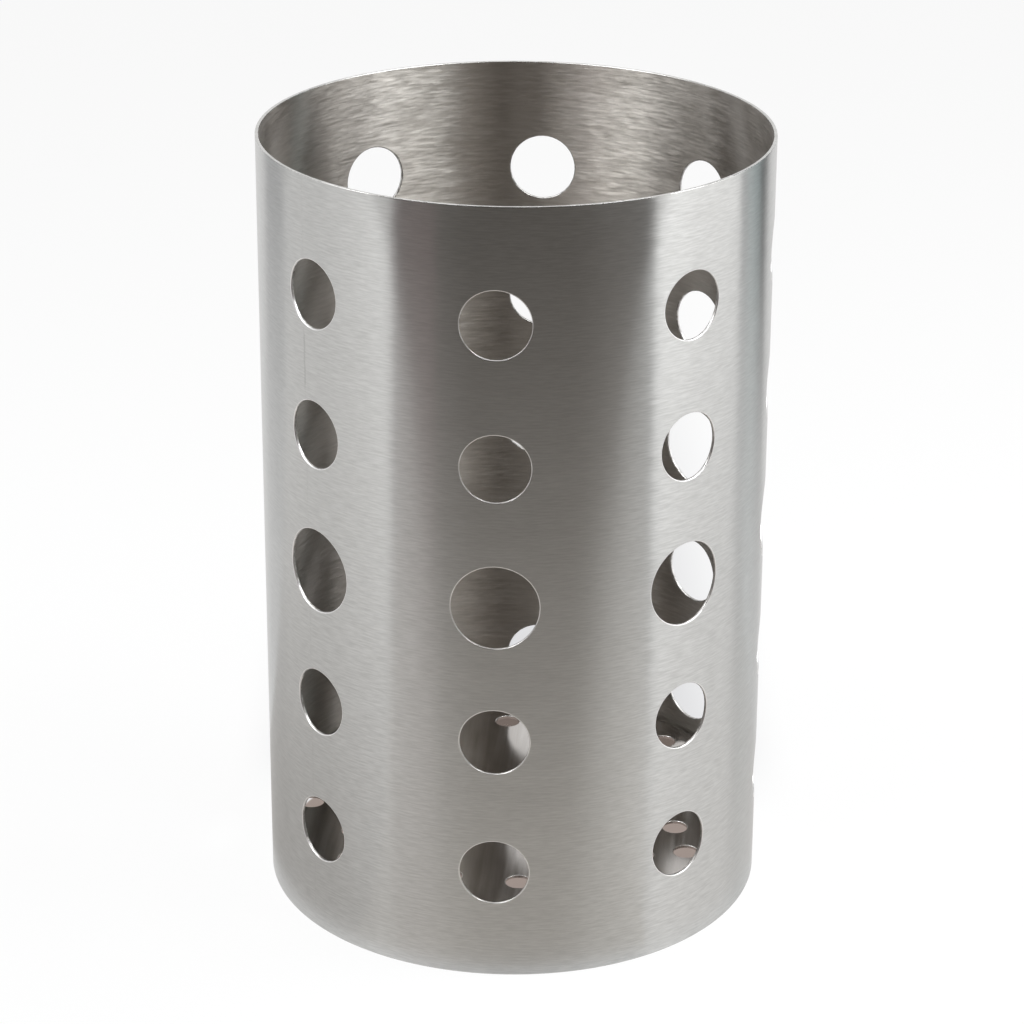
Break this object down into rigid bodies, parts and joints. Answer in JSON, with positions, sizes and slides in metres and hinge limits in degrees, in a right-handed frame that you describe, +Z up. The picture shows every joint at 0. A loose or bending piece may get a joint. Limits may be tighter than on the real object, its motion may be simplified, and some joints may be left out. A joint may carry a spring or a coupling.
{
  "type": "cutlery holder",
  "caption": "Open-topped round cutlery holder of brushed steel sheet with rows of round holes and a recessed drain base.",
  "frame": {"origin": "centre of the bottom rim, on the surface that the holder stands on", "axes": "+Z up along the tube's axis, -Y through the front column of holes, +X to the right seen from the front"},
  "size_m": [0.12, 0.12, 0.188],
  "materials": {
    "wall_sheet": "brushed around the tube",
    "weld": "dressed weld",
    "base_sheet": "bright cold-rolled"
  },
  "bodies": {
    "root": {"wall": "wall_sheet", "seam_weld": "weld", "base_pan": "base_sheet", "base_tack_welds": "weld"}
  },
  "joints": []
}
